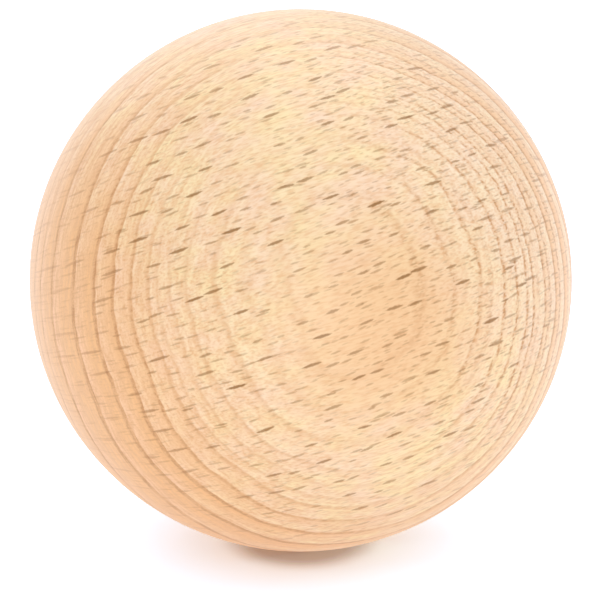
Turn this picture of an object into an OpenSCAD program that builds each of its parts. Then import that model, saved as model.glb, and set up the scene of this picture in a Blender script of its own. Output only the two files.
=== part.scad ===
// A plain wooden ball, turned in one piece from a block of beech and sanded
// smooth all over. It is round in every direction: no flat, no bore, no seam.
// The origin is the ball's centre, +Z is up, and the ball touches what it lies
// on at its lowest point. All sizes are in millimetres.

/* [Ball] */
// Diameter of the ball
ball_d = 70; // [20:1:150]

/* [Hidden] */

// The flats of the drawn outline lie no deeper than this inside a true circle.
outline_sag = 0.03;

// Sides that a circle of diameter d needs so that its flats keep within sag.
function round_sides(d, sag) = ceil(180 / acos(1 - 2 * sag / d));

// The sides come in fours, so the outline has a corner at each end of both its
// diameters and the ball measures its full size along X, Y and Z.
ball_sides = 4 * ceil(round_sides(ball_d, outline_sag) / 4);

// The shape a turner cuts to: half of the ball's section, its straight side on
// the lathe's axis and a corner at each pole.
module half_section() {
    intersection() {
        circle(d = ball_d, $fn = ball_sides);
        translate([0, -ball_d / 2]) square([ball_d / 2, ball_d]);
    }
}

// The ball as a lathe makes it: the half section swept once round the axis.
module ball() {
    color("burlywood")
        rotate_extrude($fn = ball_sides) half_section();
}

ball();
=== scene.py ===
# %% [markdown]
# A turned ball of beech, lying on a white table.
#
# The whole object is one piece of wood, so there is little to model and a lot
# to finish. What makes it look like beech is the figure: pale wood with faint
# growth rings, and thousands of short brown dashes, the ends of the rays that
# run from the heart of the tree to the bark.
#
# A picture wrapped round the ball would look wrong at the back and at the
# seams. Here the tree is described instead, as a solid that fills space, and
# the ball is simply cut out of it. Every side then shows the right figure:
# dashes on the face, fine lines on the end grain, flakes on the quarters.

# %% Load the measured ball
import math

import bmesh
import bpy
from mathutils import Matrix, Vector
from mathutils import noise as blender_noise


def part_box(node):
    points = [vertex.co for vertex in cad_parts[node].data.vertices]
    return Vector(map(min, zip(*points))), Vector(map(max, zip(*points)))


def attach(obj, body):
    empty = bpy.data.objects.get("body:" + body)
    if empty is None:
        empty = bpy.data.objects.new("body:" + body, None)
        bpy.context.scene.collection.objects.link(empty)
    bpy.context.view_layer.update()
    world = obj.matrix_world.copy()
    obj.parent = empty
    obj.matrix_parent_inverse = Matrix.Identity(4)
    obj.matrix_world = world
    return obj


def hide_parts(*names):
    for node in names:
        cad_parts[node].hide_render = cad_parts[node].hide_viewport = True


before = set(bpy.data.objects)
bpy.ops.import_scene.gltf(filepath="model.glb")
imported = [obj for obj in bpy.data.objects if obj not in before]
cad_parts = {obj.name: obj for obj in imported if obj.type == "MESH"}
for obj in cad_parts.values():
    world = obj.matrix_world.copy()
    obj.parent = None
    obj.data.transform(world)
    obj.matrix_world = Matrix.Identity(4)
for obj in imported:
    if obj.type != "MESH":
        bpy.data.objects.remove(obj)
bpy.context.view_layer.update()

low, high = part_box("ball")
radius = (high[2] - low[2]) / 2
MM = 0.001
radius_mm = radius / MM
print("the ball is", round(2 * radius_mm, 2), "mm across")

# %% [markdown]
# A material in Blender is a tree of nodes. Building one by hand in Python soon
# gets hard to read, because every plus and times is a node of its own. A small
# class can hide that: it wraps the output of a node, and ordinary sums on it
# add the Math nodes that do them. One method adds every other kind of node.
#
# Sums between plain numbers never reach the tree, because Python does them.


# %% A wire that can do sums
class Wire:
    """The output of a shader node, with Python's own signs for the sums on it."""

    def __init__(self, tree, socket=None):
        self.tree = tree
        self.socket = socket

    def add(self, kind, settings, sockets, output=0):
        """Adds a node: its settings first, then a value or a wire for each socket."""
        node = self.tree.nodes.new(kind)
        for name, setting in settings.items():
            setattr(node, name, setting)
        open_sockets = [socket for socket in node.inputs if socket.enabled]
        by_name = {socket.name: socket for socket in reversed(open_sockets)}
        for name, value in sockets.items():
            socket = open_sockets[name] if isinstance(name, int) else by_name[name]
            if isinstance(value, Wire):
                self.tree.links.new(value.socket, socket)
            else:
                socket.default_value = value
        outputs = [socket for socket in node.outputs if socket.enabled]
        if not outputs:
            return None
        if isinstance(output, str):
            output = [socket.name for socket in outputs].index(output)
        return Wire(self.tree, outputs[output])

    def sister(self, name):
        """Another output of the same node."""
        return Wire(self.tree, self.socket.node.outputs[name])

    def maths(self, operation, *values):
        """A Math node on these values, in their order."""
        return self.add("ShaderNodeMath", {"operation": operation}, dict(enumerate(values)))

    def __add__(self, other):
        return self.maths("ADD", self, other)

    def __sub__(self, other):
        return self.maths("SUBTRACT", self, other)

    def __rsub__(self, other):
        return self.maths("SUBTRACT", other, self)

    def __mul__(self, other):
        return self.maths("MULTIPLY", self, other)

    def __truediv__(self, other):
        return self.maths("DIVIDE", self, other)

    def __pow__(self, other):
        return self.maths("POWER", self, other)

    def __abs__(self):
        return self.maths("ABSOLUTE", self)

    __radd__ = __add__
    __rmul__ = __mul__


print("from here on, the shader's sums are written as sums")

# %% [markdown]
# Two more helpers for what a sum can't say: a soft step, for the edge of a
# mark, and a mix of two colours. Colours never go through a Math node, which
# would turn them grey.
#
# Colours are given as a colour picker shows them, from 0 to 255, and turned
# into the light values that the shader wants.


# %% Steps, mixes and colours
def rise(value, start, end):
    """0 below start, 1 above end, and a soft step between; end may be the lower."""
    ends = {"From Min": start, "From Max": end, "To Min": 0.0, "To Max": 1.0}
    if start > end:
        ends = {"From Min": end, "From Max": start, "To Min": 1.0, "To Max": 0.0}
    return value.add("ShaderNodeMapRange", {"interpolation_type": "SMOOTHSTEP"}, {"Value": value, **ends})


def blend(amount, under, over):
    """under where amount is 0, over where it is 1."""
    settings = {"data_type": "RGBA", "blend_type": "MIX", "clamp_factor": True}
    return amount.add("ShaderNodeMix", settings, {"Factor": amount, "A": under, "B": over})


def light_value(level):
    """A level on a screen as an amount of light: a straight foot, then a power."""
    level = level / 255
    return level / 12.92 if level <= 0.04045 else ((level + 0.055) / 1.055) ** 2.4


def colour(red, green, blue):
    return (light_value(red), light_value(green), light_value(blue), 1.0)


white = colour(255, 255, 255)
black = colour(0, 0, 0)
print("a white page is", white)

# %% [markdown]
# Where was this ball in the tree? Three directions say it. `outward` runs from
# the heart to the bark, `along` follows the fibres up the trunk, and `across`
# is square to both. The ring lines are closed ovals round a spot just to the
# right of the middle of the face, so the bark side looks that way, and the
# dashes climb to the right, so the fibres do.

# %% Three directions in the wood
bark_turn = math.radians(11)
bark_lift = math.radians(18.5)
grain_climb = math.radians(13.5)

outward = Vector((math.sin(bark_turn) * math.cos(bark_lift),
                  -math.cos(bark_turn) * math.cos(bark_lift),
                  math.sin(bark_lift)))
level_side = Vector((0, 0, 1)).cross(outward).normalized()
steep_side = outward.cross(level_side)
along = math.cos(grain_climb) * level_side + math.sin(grain_climb) * steep_side
across = outward.cross(along)
print("outward", outward, "along", along, "across", across)

# %% [markdown]
# The same three directions become wires. Texture Coordinate gives each point
# of the ball in metres from the centre, and a dot product with a direction
# says how far out, along or across it lies, here in millimetres.
#
# Noise is the other thing that wood is full of. It always runs with the grain,
# so one helper makes it from three sizes: how wide its blobs are across, along
# and out.

# %% The beech material and its coordinates
beech = bpy.data.materials.new("beech")
beech.use_nodes = True
beech.node_tree.nodes.clear()
wood = Wire(beech.node_tree)

place = wood.add("ShaderNodeTexCoord", {}, {}, "Object")


def reach(direction):
    """How far each point lies in a direction from the centre, in millimetres."""
    measure = {0: place, 1: direction / MM}
    return place.add("ShaderNodeVectorMath", {"operation": "DOT_PRODUCT"}, measure, "Value")


def point(x, y, z):
    return wood.add("ShaderNodeCombineXYZ", {}, {0: x, 1: y, 2: z})


def noise(where, detail=2.0, roughness=0.5):
    """Soft random values round 0.5, one blob for each unit of where."""
    sockets = {"Vector": where, "Scale": 1.0, "Detail": detail, "Roughness": roughness}
    return wood.add("ShaderNodeTexNoise", {"noise_dimensions": "3D"}, sockets)


out_mm, along_mm, across_mm = reach(outward), reach(along), reach(across)


def clouds(across_size_mm, along_size_mm, out_size_mm, detail=1.0, roughness=0.5):
    """Noise with the grain, its blobs as large as the three sizes say."""
    where = point(across_mm / across_size_mm, along_mm / along_size_mm, out_mm / out_size_mm)
    return noise(where, detail, roughness)


print("the fibres run", round(math.degrees(grain_climb), 1), "degrees above level")

# %% [markdown]
# Growth rings are cylinders round the pith, the heart of the trunk. The depth
# of a point is how far it lies under the bark-side pole of the ball, measured
# from ring to ring, so it comes from the distance to the pith. This trunk grew
# faster on one side: there the rings are wider, and depth runs slower. It also
# tapers a little, so depth changes slowly along the fibres too.
#
# The wood is alive, so no ring is quite round. One slow noise bends the rings
# by a millimetre or so, and a smaller one ripples them.

# %% Depth in the tree
pith_mm = 170.0
uneven_growth = 0.28
taper_growth = -0.02
bend_mm = 2.4
ripple_mm = 0.5

bends = (clouds(16, 26, 22) - 0.5) * bend_mm
ripples = (clouds(2.4, 3.6, 2.4) - 0.5) * ripple_mm
out_bent_mm = out_mm + bends + ripples
from_pith_mm = ((out_bent_mm + pith_mm) ** 2 + across_mm ** 2) ** 0.5
crowding = 1 + across_mm * (uneven_growth / radius_mm) + along_mm * (taper_growth / radius_mm)
depth_mm = (pith_mm + radius_mm - from_pith_mm) * crowding
print("the pith lies", pith_mm, "mm behind the middle, and rings bend up to", bend_mm / 2, "mm")

# %% [markdown]
# The depth says which year a point grew in. The rings are a short list of years
# from the bark side in, each with a width and a darkness. The outer years are
# narrow and faint; the tree grew fast when it was young, so the inner ones are
# wide and strong.
#
# Nodes have no loop that stops at the right year. Instead every year adds what
# it changes: wherever the depth has passed its start, it swaps the width and
# darkness of the year before for its own. After the last one, each point knows
# its own year and how far into it the point lies.

# %% Years
YEARS = [
    # width of the year in mm, darkness of its line
    (1.35, 0.24), (1.70, 0.18), (2.05, 0.33), (1.30, 0.31), (1.20, 0.24), (0.90, 0.24),
    (1.90, 0.38), (2.25, 0.62), (2.85, 1.05), (4.15, 1.40), (5.90, 1.60), (4.50, 2.40),
    (3.40, 0.90), (3.80, 1.10), (3.10, 0.70), (4.00, 1.00), (3.60, 0.80), (4.40, 1.00),
    (3.90, 0.70), (4.60, 1.00), (4.20, 0.80), (3.90, 0.90),
]
first_line_mm = 1.15

year_mm = 0.0
year_darkness = 0.0
since_mm = depth_mm - first_line_mm
start_mm = first_line_mm
last_mm, last_darkness = 0.0, 0.0
for width_mm, darkness in YEARS:
    begun = depth_mm.maths("GREATER_THAN", depth_mm, start_mm)
    year_mm = begun * (width_mm - last_mm) + year_mm
    year_darkness = begun * (darkness - last_darkness) + year_darkness
    since_mm = since_mm - begun * last_mm
    start_mm += width_mm
    last_mm, last_darkness = width_mm, darkness
print(len(YEARS), "years reach", round(start_mm, 1), "mm down")

# %% [markdown]
# A year of growth is pale spring wood that darkens slowly and ends in a thin
# dark line, and then the next spring starts at once. Seen from the bark inward,
# that is a sharp fall into the dark line, and a slow way back to pale over the
# whole year. The line is brown and the slow part is orange, so they are kept
# apart here and coloured later.
#
# To the right and up the rings are drawn finer: a hairline at the start of each
# year and, in the wide years, a fainter one half-way.



# %% Lines of the years
def stroke(distance, full_to, gone_by):
    """A soft line at distance 0: as dark as it gets up to full_to, and gone by gone_by."""
    return rise(distance, gone_by, full_to)


line_edge_mm = 0.25
thinnest_line_mm = 0.45
line_share_of_year = 0.10

edge = rise(since_mm, 0.0, line_edge_mm)
line_mm = thinnest_line_mm + line_share_of_year * year_mm
wide_lines = edge * stroke(since_mm / line_mm, full_to=0.33, gone_by=1.0) * year_darkness
year_glow = edge * (1 - since_mm / year_mm) * year_darkness

first_hair = stroke(since_mm, full_to=0.20, gone_by=0.50)
half_way_hair = stroke(abs(since_mm - 0.5 * year_mm), full_to=0.10, gone_by=0.28)
wide_year = rise(year_mm, 1.3, 2.4)
hair_darkness = 0.55 + 0.50 * year_darkness
hairlines = edge * (first_hair + 0.5 * half_way_hair * wide_year) * hair_darkness
print("a line darkens over", line_edge_mm, "mm")

# %% [markdown]
# How clearly a ring shows depends on the cut. It is crisp on the end grain, at
# the ball's left and right, and soft on the sides between. It also fades from
# the bottom of the ball to the top, and a little more on a quiet side at the
# upper left.
#
# Up close a ring line isn't drawn with a pen. It is a row of small dark cells,
# so a fine noise breaks it into dots, the hairlines more than the wide lines.

# %% Growth rings
fine_direction = Vector((0.85, -0.10, 0.50))
quiet_direction = Vector((-0.45, -0.10, 0.89))
face_clearness = 0.30
end_clearness = 1.75
top_loss = 0.5
quiet_loss = 0.32
line_loss_on_fine_side = 0.70
glow_loss_on_fine_side = 0.40
dot_mm = 0.42

fine_reach = reach(fine_direction)
fine_side = rise(fine_reach, 6.0, 24.0)
quiet_side = rise(reach(quiet_direction), 20.0, 30.0)
end_grain = abs(along_mm) / radius_mm
clearness = face_clearness + (end_clearness - face_clearness) * end_grain
clearness = clearness * (1 - across_mm * (top_loss / radius_mm)) * (1 - quiet_loss * quiet_side)

dots = clouds(dot_mm, 0.9, dot_mm)
line_dots = 0.58 + 0.84 * rise(dots, 0.36, 0.64)
hair_dots = 0.20 + 1.25 * rise(dots, 0.42, 0.64)
ring_lines = wide_lines * (1 - line_loss_on_fine_side * fine_side) * clearness * line_dots
ring_glow = year_glow * (1 - glow_loss_on_fine_side * fine_side) * clearness
fine_lines = hairlines * fine_side * clearness * hair_dots
clearer = end_clearness / face_clearness
print("the end grain shows rings", round(clearer, 1), "times as clearly as the face")

# %% [markdown]
# The rays are thin ribbons, a few cells thick and a millimetre or two tall,
# that run straight outward through the rings. So all of one ray has the same
# bearing as seen from the pith, and the same height in the trunk, and that
# pair is enough to place it.
#
# The fibres wind round the trunk a little, as in most trees, so the dashes
# turn slightly from one side of the ball to the other. A slow noise lets the
# rays sway.

# %% Bearings from the pith
spiral = -0.0015
sway_mm = 0.8

bearing_mm = across_mm * pith_mm / (out_mm + pith_mm) + out_mm * along_mm * spiral
swayed_mm = bearing_mm + (clouds(5, 8, 12) - 0.5) * sway_mm
print("rays sway by up to", sway_mm / 2, "mm")

# %% [markdown]
# On the face of the ball we see the ends of the rays as dashes. Voronoi is made
# for scattered things like these: it tells each point where its nearest seed
# is, and the seed gets one ray. The difference to the seed, back in
# millimetres, draws a dash round it with a ragged edge, and the seed's random
# colour gives each ray a length and a darkness of its own. The longest are
# mostly the darkest, because a tall ray is a thick one too.
#
# Real rays keep their distance from each other, the broad ones most of all, so
# scatter says how far the seeds may wander in their cells. Each row of cells
# starts a little further along than the last, as bricks do in a wall. The seeds
# are scattered across and along only, so a ray keeps going outward as the real
# one does, with a slow noise that lets it fade and come back.

# %% Scattered rays
brick_shift = 0.4
dash_edge_mm = 0.08
bluntness = 2.5
spell_mm = 14
far_apart = 90
ragged = clouds(0.3, 0.35, 0.6)


def rays(gaps_mm, scatter, lengths_mm, half_width_mm, faintest, shift):
    """Scattered rays: each one's darkness inside its dash, 0 between them."""
    across_gap_mm, along_gap_mm = gaps_mm
    shortest_mm, longest_mm = lengths_mm
    row = swayed_mm / across_gap_mm + shift
    cell = point(row, along_mm / along_gap_mm + row * brick_shift, 0.0)
    settings = {"voronoi_dimensions": "2D", "feature": "F1", "distance": "EUCLIDEAN"}
    sockets = {"Vector": cell, "Scale": 1.0, "Randomness": scatter}
    seed = wood.add("ShaderNodeTexVoronoi", settings, sockets, "Position")
    offset = wood.add("ShaderNodeVectorMath", {"operation": "SUBTRACT"}, {0: cell, 1: seed})
    side = wood.add("ShaderNodeSeparateXYZ", {}, {0: offset}, "X")
    side_mm = abs(side * across_gap_mm)
    end_mm = abs((side.sister("Y") - side * brick_shift) * along_gap_mm)

    luck = wood.add("ShaderNodeSeparateColor", {}, {0: seed.sister("Color")}, "Red")
    more_luck = luck.sister("Green")
    half_mm = luck * ((longest_mm - shortest_mm) / 2) + shortest_mm / 2
    taper = 1 - (end_mm / half_mm) ** bluntness
    thickness = 0.7 + 0.45 * luck
    body_mm = (taper * thickness + ragged - 0.5) * half_width_mm
    dash = rise(body_mm - side_mm, -dash_edge_mm, dash_edge_mm)

    own_place = point(luck * far_apart + shift, more_luck * far_apart, out_mm / spell_mm)
    spell = rise(noise(own_place, detail=0.0), 0.22, 0.42)
    darkness = faintest + (1 - faintest) * (0.6 * luck + 0.4 * more_luck)
    return dash * darkness * spell


print("a ray lasts some", spell_mm, "mm outward before it may fade")

# %% [markdown]
# Beech has rays of every size, and three sets are enough to show it: broad ones
# that catch the eye, small ones between them, and fine ones that are little
# more than a streak. Each set has its own shift, so that their cells never line
# up.
#
# A ray is dark where it ends, because we look into its cells there. Where the
# ball's side cuts along it, the cells lie flat and shine, and the ray is paler.
# On a ball, the side turns from one to the other as the outward distance falls.

# %% Three sizes of ray
flat_ray_strength = 0.4
broad_gaps_mm = (2.6, 3.2)

ends_on = rise(abs(out_mm), radius_mm * 0.15, radius_mm * 0.8)
ray_strength = flat_ray_strength + (1 - flat_ray_strength) * ends_on

broad_rays = rays(broad_gaps_mm, scatter=0.62, lengths_mm=(0.9, 2.5),
                  half_width_mm=0.14, faintest=0.40, shift=7.3) * ray_strength
small_rays = rays((1.45, 2.6), scatter=0.85, lengths_mm=(0.7, 1.8),
                  half_width_mm=0.10, faintest=0.35, shift=3.1) * ray_strength
fine_rays = rays((0.62, 1.5), scatter=0.95, lengths_mm=(0.4, 1.0),
                 half_width_mm=0.06, faintest=0.20, shift=5.7)
print("about", round(100 / math.prod(broad_gaps_mm)), "broad rays to each square centimetre")

# %% [markdown]
# Between the rays lie the vessels and fibres, too fine to draw one by one. A
# noise that is stretched along the fibres gives streaks on the face and dots
# on the end grain, as the real vessels do. Thin layers follow the rings, since
# the tree doesn't grow evenly through the summer, and they show best on the
# end grain. A slow noise moves the whole wood between a yellower and a pinker
# tone.

# %% Vessels, fibres, layers and tone
vessel_mm = 0.25
layer_mm = 0.38
vessel_strength = 0.44
fibre_strength = 0.14

vessels = clouds(vessel_mm, 1.4, vessel_mm, detail=1.3)
fibres = clouds(0.8, 5.0, 0.8, detail=2.0)
tone = clouds(4.0, 6.0, 4.0, detail=2.0, roughness=0.6)
layers = noise(point(across_mm / 2.4, along_mm / 9, depth_mm / layer_mm))

layer_strength = (0.50 + 0.45 * end_grain - 0.42 * ends_on) * (1 - 0.5 * fine_side)
grain = rise(vessels, 0.38, 0.72) * vessel_strength + rise(fibres, 0.35, 0.75) * fibre_strength
grain = grain + rise(layers, 0.3, 0.7) * layer_strength
print("vessels are drawn about", vessel_mm, "mm wide")

# %% [markdown]
# Three things are larger than that. A patch as big as a coin, a little right of the middle of the face,
# is warmer than the wood round it. One whole side of the ball, to the left and below, is painted a deeper
# orange: that is painted shade, where less light falls. The rim on the other side is painted paler: a
# painted highlight, where the light falls strongest.

# %% Warm patch, painted shade and painted highlight
patch_spot_mm = Vector((10.4, -33.0, 4.8))
patch_edge_mm = 19.5
patch_core_mm = 2.5
painted_shade_direction = Vector((-0.89, -0.09, -0.38))

patch_measure = {0: place, 1: patch_spot_mm * MM}
from_patch = place.add("ShaderNodeVectorMath", {"operation": "DISTANCE"}, patch_measure, "Value")
warm_patch = rise(from_patch / MM, patch_edge_mm, patch_core_mm)
# Painted shade: the lower left of the ball turns a deeper orange, as if less light fell there.
painted_shade_side = rise(reach(painted_shade_direction), 8.0, 33.0)
# Painted highlight: the upper right rim turns paler, as if the light fell strongest there.
painted_highlight_rim = rise(fine_reach, 21.0, 31.5)
print("the warm patch fades out", patch_edge_mm, "mm from its middle")

# %% [markdown]
# Now the colours, from the ground up: pale wood between yellow and pink, the warm patch with the painted
# shade and the painted highlight, the rings over them, then vessels and fibres, and the brown rays on
# top. Each row of the list is one layer, with where it lies, how strong it is there and its colour, so
# the order of the rows is the order in which they cover each other.

# %% Colour of the wood
pale_yellow = colour(254, 232, 182)
pale_pink = colour(254, 224, 196)
ring_line_tone = colour(196, 137, 82)
side_ray_tone = colour(190, 124, 60)
end_ray_tone = colour(146, 94, 12)
ray_tone = blend(ends_on, side_ray_tone, end_ray_tone)
fine_ray_strength = 0.31 + 0.30 * fine_side

coats = [
    # where, how strong, colour
    (warm_patch, 0.95, colour(247, 203, 154)),
    # painted shade on the lower left side
    (painted_shade_side, 1.00, colour(251, 198, 157)),
    # painted highlight on the upper right rim
    (painted_highlight_rim, 0.55, colour(254, 233, 210)),
    (ring_glow, 0.86, colour(246, 190, 130)),
    (ring_lines, 0.90, ring_line_tone),
    (fine_lines, 1.00, ring_line_tone),
    (grain, 1.00, colour(232, 178, 126)),
    (fine_rays, fine_ray_strength, ray_tone),
    (small_rays, 0.56, ray_tone),
    (broad_rays, 0.94, ray_tone),
]
wood_colour = blend(rise(tone, 0.25, 0.75), pale_yellow, pale_pink)
for where, how_strong, coat_colour in coats:
    wood_colour = blend(where * how_strong, wood_colour, coat_colour)
print(len(coats), "layers of colour on the pale ground")

# %% [markdown]
# A sanded and waxed ball is satin, not glossy. The rays are harder than the
# wood round them and take a little more polish, and the vessels are open, so
# they stay rough. The bump is only a few hundredths of a millimetre: the
# vessels are scratches in the surface, and the rays lie a hair deeper.

# %% Polish and bump
satin = 0.48
vessel_roughness = 0.12
ray_polish = 0.08
line_roughness = 0.05
broad_groove_mm = 0.03
small_groove_mm = 0.012
vessel_groove_mm = 0.018

roughness = satin + (vessels - 0.5) * vessel_roughness - broad_rays * ray_polish
roughness = roughness + ring_lines * line_roughness
hollows_mm = 0.0 - broad_rays * broad_groove_mm - small_rays * small_groove_mm
hollows_mm = hollows_mm - rise(vessels, 0.5, 0.85) * vessel_groove_mm
bump = wood.add("ShaderNodeBump", {}, {"Strength": 1.0, "Distance": MM, "Height": hollows_mm})
wax = {"Coat Weight": 0.55, "Coat Roughness": 0.35, "Coat IOR": 1.45}
skin = {"Base Color": wood_colour, "Roughness": roughness, "Normal": bump, "IOR": 1.5, **wax}
shader = wood.add("ShaderNodeBsdfPrincipled", {}, skin)
wood.add("ShaderNodeOutputMaterial", {}, {"Surface": shader})
print("the beech material has", len(beech.node_tree.nodes), "nodes")

# %% [markdown]
# Blender's own ball has poles, where long thin triangles meet, and its map
# crams the texture there. A cube blown up into a ball has neither: its squares
# stay almost equal all over, and its six sides unfold into six equal panels,
# three in the lower row of the map and three in the upper. A narrow gutter
# keeps each panel's edge clear of its neighbour.

# %% A cube with a map
SQUARES = 96
gutter = 0.006

shape = bmesh.new()
bmesh.ops.create_cube(shape, size=2.0)
bmesh.ops.subdivide_edges(shape, edges=shape.edges[:], cuts=SQUARES - 1, use_grid_fill=True)
panels = shape.loops.layers.uv.new("OFBake")
for face in shape.faces:
    face.smooth = True
    middle = face.calc_center_median()
    axis = max(range(3), key=lambda i: abs(middle[i]))
    facing = 1 if middle[axis] > 0 else -1
    for loop in face.loops:
        spot = loop.vert.co
        over = 0.5 + 0.5 * facing * spot[(axis + 1) % 3]
        up = 0.5 + 0.5 * spot[(axis + 2) % 3]
        column = axis + gutter + (1 - 2 * gutter) * over
        row = (facing > 0) + gutter + (1 - 2 * gutter) * up
        loop[panels].uv = (column / 3, row / 2)
print("the cube has", len(shape.faces), "squares in six panels")

# %% [markdown]
# Pushing every corner out to the same distance makes the cube a ball. Bending
# each coordinate by a tangent first spaces the squares evenly by angle.
#
# A real ball is turned and then sanded by hand or in a drum, so it is true to
# a few hundredths of a millimetre and no better. That little unevenness is
# real shape, so it goes into the mesh. Sanding only takes away, so the wood
# always stays inside the true ball.

# %% Turn and sand the ball
sanding_mm = 0.03
least_loss_mm = 0.02
sanding_patch_mm = 11.0


def sanded(direction):
    """The surface point in that direction, a hair inside the true ball."""
    patch = direction * (radius_mm / sanding_patch_mm)
    loss_mm = least_loss_mm + sanding_mm * (0.5 + 0.5 * blender_noise.noise(patch))
    return direction * (radius - loss_mm * MM)


for corner in shape.verts:
    bent = Vector([math.tan(value * math.pi / 4) for value in corner.co])
    corner.co = sanded(bent.normalized())

ball_mesh = bpy.data.meshes.new("turned_ball")
shape.to_mesh(ball_mesh)
shape.free()
ball_mesh.materials.append(beech)
ball = bpy.data.objects.new("turned_ball", ball_mesh)
bpy.context.scene.collection.objects.link(ball)
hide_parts("ball")
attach(ball, "root")
print("each square is about", round(radius_mm * math.pi / 2 / SQUARES, 2), "mm wide")

# %% [markdown]
# The ball lies on a white sheet that is lit until it burns out, as in a
# catalogue picture: only the soft shadow under the ball is left. More light
# would burn the wood out too, so the sheet is brighter for the camera alone.
# Light Path knows which rays come from the camera. Close to where the ball touches they see the sheet
# darker, a painted shadow that darkens and narrows the real one, and further out they see paper past
# white.
#
# Such a sheet often lies on a light table, which glows a little from below.
# That is why the underside of a ball isn't dark in these pictures: paper in
# the ball's own shadow could hardly light it, but a glow can. So for all other
# rays the sheet is ordinary paper with a faint glow.

# %% White paper
paper = bpy.data.materials.new("white_paper")
paper.use_nodes = True
paper.node_tree.nodes.clear()
sheet = Wire(paper.node_tree)

paper_white = (0.54, 0.54, 0.54, 1.0)
mirrored_white = (0.92, 0.92, 0.92, 1.0)
# painted shadow: the dimmer sheet that the camera sees round where the ball touches
painted_shadow_white = (0.73, 0.75, 0.84, 1.0)
far_white = (1.27, 1.62, 2.10, 1.0)
near_radii = 0.17
far_radii = 0.315
sheet_glow = 0.42
shadow_spot = Vector((0, -3 * MM, low[2]))

camera_ray = sheet.add("ShaderNodeLightPath", {}, {}, "Is Camera Ray")
mirrored = camera_ray.maths("MAXIMUM", camera_ray.sister("Is Glossy Ray"),
                            camera_ray.sister("Is Transmission Ray"))
sheet_place = sheet.add("ShaderNodeTexCoord", {}, {}, "Object")
shadow_measure = {0: sheet_place, 1: shadow_spot}
from_shadow = sheet.add("ShaderNodeVectorMath", {"operation": "DISTANCE"}, shadow_measure, "Value")
# Painted shadow: the sheet is dimmer for the camera near the ball and brighter further out.
camera_white = blend(rise(from_shadow / radius, near_radii, far_radii), painted_shadow_white, far_white)
sheet_white = blend(camera_ray, blend(mirrored, paper_white, mirrored_white), camera_white)
glow_white = blend(camera_ray, white, black)

matt = sheet.add("ShaderNodeBsdfDiffuse", {}, {"Color": sheet_white})
glow = sheet.add("ShaderNodeEmission", {}, {"Color": glow_white, "Strength": sheet_glow})
matt_and_glow = sheet.add("ShaderNodeAddShader", {}, {0: matt, 1: glow})
sheet.add("ShaderNodeOutputMaterial", {}, {"Surface": matt_and_glow})
print("the paper glows at", sheet_glow)

# %% [markdown]
# The sheet is one large flat face at the height of the ball's lowest point. It
# is wide enough for its edge to stay out of the picture, from any side.

# %% White sheet
sheet_half = 3.0
corners = [(-1, -1), (1, -1), (1, 1), (-1, 1)]
spots = [(x * sheet_half, y * sheet_half, low[2]) for x, y in corners]
sheet_mesh = bpy.data.meshes.new("sheet")
sheet_mesh.from_pydata(spots, [], [(0, 1, 2, 3)])
sheet_mesh.materials.append(paper)
white_sheet = bpy.data.objects.new("white_sheet", sheet_mesh)
bpy.context.scene.collection.objects.link(white_sheet)
print("the sheet lies at", round(low[2] / MM, 2), "mm, where the ball touches it")

# %% [markdown]
# The light is a white tent round the ball, and it comes from everywhere. The
# world is the tent. The camera and reflections see it as pure white, and the
# wood gets a plain level of light, at which a colour renders about as it was
# written.

# %% Tent
world = bpy.data.worlds.new("tent")
bpy.context.scene.world = world
world.use_nodes = True
world.node_tree.nodes.clear()
tent = Wire(world.node_tree)
tent_light = 0.90

seen = tent.add("ShaderNodeLightPath", {}, {}, "Is Camera Ray")
for ray_name in ("Is Glossy Ray", "Is Transmission Ray"):
    seen = seen.maths("MAXIMUM", seen, tent.add("ShaderNodeLightPath", {}, {}, ray_name))
tent_strength = tent_light + seen * (1 - tent_light)
tent_cloth = tent.add("ShaderNodeBackground", {}, {"Color": white, "Strength": tent_strength})
tent.add("ShaderNodeOutputWorld", {}, {"Surface": tent_cloth})
print("the tent lights the ball at", tent_light)

# %% [markdown]
# Three soft boxes add a little to the tent. A large one above and behind puts a
# soft shine on the ball's upper edge, and a second one lower down behind keeps
# that edge light to the left. A small one low in front reaches under the ball.
#
# A lamp is dimmer the further away it stands, with the square of the distance.
# The helper makes up for that, so that only the level on the ball is chosen. A
# level of 1 would light it as a white tent does.


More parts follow.
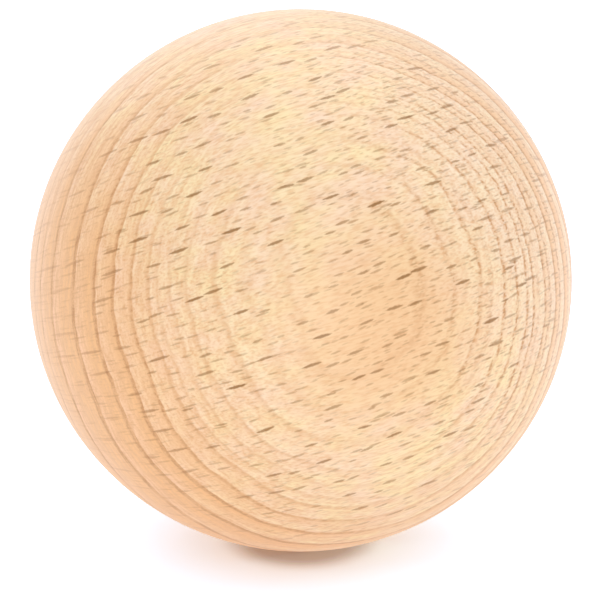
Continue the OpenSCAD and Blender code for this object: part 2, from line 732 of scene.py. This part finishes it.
# %% Soft boxes
def soft_box(name, place_m, side_m, level):
    """A square lamp that lights the ball as brightly as level says, seen square on."""
    lamp = bpy.data.lights.new(name, "AREA")
    lamp.shape = "SQUARE"
    lamp.size = side_m
    lamp.energy = level * math.pi ** 2 * place_m.length_squared
    stand = bpy.data.objects.new(name, lamp)
    stand.location = place_m
    stand.rotation_euler = (-place_m).to_track_quat("-Z", "Y").to_euler()
    bpy.context.scene.collection.objects.link(stand)
    print(name, "gives", round(lamp.energy, 1), "watts")


soft_box("box_above", Vector((0.1, 0.4, 0.85)), side_m=0.7, level=0.14)
soft_box("box_in_front", Vector((0.12, -0.9, 0.06)), side_m=0.18, level=0.10)
soft_box("box_behind", Vector((-0.3, 0.80, 0.45)), side_m=0.8, level=0.09)

# %% [markdown]
# The camera stands in front and a little above. Three facts from the picture
# place it: the ball is 543 pixels across in a frame of 600, and its middle is
# almost 20 pixels above the middle of the frame. With the distance chosen, the
# lens follows from the size and the aim from the offset.

# %% Camera
camera_lift = math.radians(18)
camera_distance = 0.60
frame_px = 600
ball_px = 543.4
middle_right_px = 0.7
middle_up_px = 19.8

half_view = math.asin(radius / camera_distance)
focal_px = ball_px / 2 / math.tan(half_view)
metres_per_px = camera_distance / focal_px

camera_data = bpy.data.cameras.new("camera")
camera_data.sensor_width = 36.0
camera_data.lens = focal_px / frame_px * camera_data.sensor_width
camera_data.clip_start = 0.05
camera = bpy.data.objects.new("camera", camera_data)
viewpoint = Vector((0, -math.cos(camera_lift), math.sin(camera_lift))) * camera_distance
picture_up = Vector((0, math.sin(camera_lift), math.cos(camera_lift)))
aim = Vector((-middle_right_px * metres_per_px, 0, 0)) - picture_up * (middle_up_px * metres_per_px)
camera.location = viewpoint
camera.rotation_euler = (aim - viewpoint).to_track_quat("-Z", "Y").to_euler()
bpy.context.scene.collection.objects.link(camera)
bpy.context.scene.camera = camera
bpy.context.scene.view_settings.view_transform = "Standard"
print("lens", round(camera_data.lens, 1), "mm at", camera_distance, "m")
